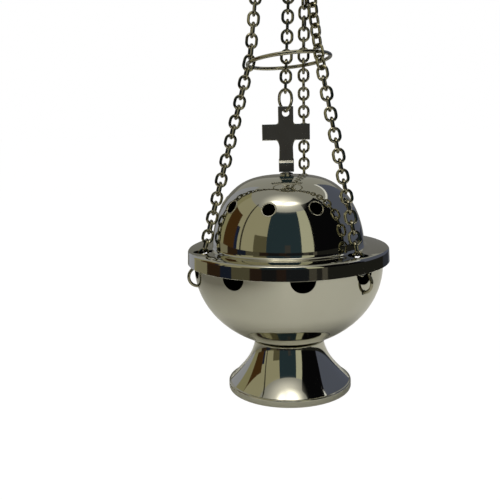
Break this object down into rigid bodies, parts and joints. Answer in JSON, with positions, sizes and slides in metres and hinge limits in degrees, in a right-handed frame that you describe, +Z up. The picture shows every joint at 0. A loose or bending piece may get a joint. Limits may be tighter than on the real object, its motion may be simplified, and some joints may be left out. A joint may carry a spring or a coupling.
{
  "type": "hanging incense burner",
  "caption": "Footed round burner with vents, a domed lid with a cross that slides up the chains, a ring that spreads the chains and a hand cap with rings on top.",
  "frame": {"origin": "middle of the foot's base, on the surface it stands on", "axes": "+Z up the burner's axis, -Y towards the viewer, +X to the viewer's right"},
  "size_m": [0.11, 0.1102, 0.2515],
  "materials": {
    "polished_nickel": "mirror polished",
    "cast_nickel": "polished casting",
    "chain_nickel": "bright drawn wire, slightly tarnished",
    "plain_steel": "plain",
    "spun_brass": "spun, unpolished"
  },
  "bodies": {
    "vessel": {"foot": "polished_nickel", "bowl": "polished_nickel", "foot_screw": "plain_steel", "foot_washer": "plain_steel", "foot_nut": "plain_steel", "jump_ring_1": "chain_nickel", "jump_ring_2": "chain_nickel", "jump_ring_3": "chain_nickel"},
    "cup": {"charcoal_cup": "spun_brass"},
    "lid": {"lid": "polished_nickel", "cross": "cast_nickel", "cross_stud": "cast_nickel", "stud_washer": "plain_steel", "stud_nut": "plain_steel", "bail": "chain_nickel", "lid_chain": "chain_nickel"},
    "pull": {"pull_ring": "chain_nickel"},
    "lower_stretch_1": {"chain_1_lower": "chain_nickel"},
    "upper_stretch_1": {"chain_1_upper": "chain_nickel"},
    "lower_stretch_2": {"chain_2_lower": "chain_nickel"},
    "upper_stretch_2": {"chain_2_upper": "chain_nickel"},
    "lower_stretch_3": {"chain_3_lower": "chain_nickel"},
    "upper_stretch_3": {"chain_3_upper": "chain_nickel"},
    "top": {"spacer_ring": "cast_nickel", "chain_1_top": "chain_nickel", "chain_2_top": "chain_nickel", "chain_3_top": "chain_nickel", "cap_ring_1": "chain_nickel", "cap_ring_2": "chain_nickel", "cap_ring_3": "chain_nickel", "hand_cap": "polished_nickel", "hang_eye": "cast_nickel"},
    "hanger": {"hang_ring": "cast_nickel"}
  },
  "joints": [
    {"name": "lid_lift", "type": "slide", "parent": "vessel", "child": "lid", "axis": [0, 0, 1], "range_m": [0, 0.026]},
    {"name": "cup_lift", "type": "slide", "parent": "vessel", "child": "cup", "axis": [0, 0, 1], "range_m": [0, 0.04]},
    {"name": "pull_ring_swing", "type": "hinge", "parent": "lid", "child": "pull", "pos_m": [0.0032, 0.0006, 0.2265], "axis": [-1, 0, 0], "range_deg": [0, 180]},
    {"name": "chain_1_lean", "type": "hinge", "parent": "vessel", "child": "lower_stretch_1", "pos_m": [0.03745, -0.03372, 0.06681], "axis": [0.6856, 0.728, 0], "range_deg": [0, 11.1]},
    {"name": "chain_1_knee", "type": "hinge", "parent": "lower_stretch_1", "child": "upper_stretch_1", "pos_m": [0.0283, -0.0251, 0.11756], "axis": [0.6856, 0.728, 0], "range_deg": [-20.7, 0]},
    {"name": "chain_2_lean", "type": "hinge", "parent": "vessel", "child": "lower_stretch_2", "pos_m": [0.01048, 0.04929, 0.06681], "axis": [-1, 0.008, 0], "range_deg": [0, 11.1]},
    {"name": "chain_2_knee", "type": "hinge", "parent": "lower_stretch_2", "child": "upper_stretch_2", "pos_m": [0.01038, 0.037, 0.11605], "axis": [-1, 0.008, 0], "range_deg": [-20.8, 0]},
    {"name": "chain_3_lean", "type": "hinge", "parent": "vessel", "child": "lower_stretch_3", "pos_m": [-0.04793, -0.01557, 0.06681], "axis": [0.3096, -0.9509, 0], "range_deg": [0, 11.3]},
    {"name": "chain_3_knee", "type": "hinge", "parent": "lower_stretch_3", "child": "upper_stretch_3", "pos_m": [-0.03476, -0.01129, 0.11607], "axis": [0.3096, -0.9509, 0], "range_deg": [-21, 0]},
    {"name": "hanger_drop", "type": "slide", "parent": "vessel", "child": "top", "axis": [0, 0, -1], "range_m": [0, 0.0016]},
    {"name": "hang_ring_swing", "type": "hinge", "parent": "top", "child": "hanger", "pos_m": [0.0164, 0.0006, 0.22675], "axis": [0, 1, 0], "range_deg": [0, 88]}
  ],
  "couplings": [
    {"joint": "chain_1_lean", "follows": "lid_lift", "rad_per_m": 7.4311},
    {"joint": "chain_1_knee", "follows": "lid_lift", "rad_per_m": -13.862},
    {"joint": "chain_2_lean", "follows": "lid_lift", "rad_per_m": 7.4419},
    {"joint": "chain_2_knee", "follows": "lid_lift", "rad_per_m": -13.913},
    {"joint": "chain_3_lean", "follows": "lid_lift", "rad_per_m": 7.529},
    {"joint": "chain_3_knee", "follows": "lid_lift", "rad_per_m": -14.044},
    {"joint": "hanger_drop", "follows": "lid_lift", "ratio": 0.06153}
  ]
}
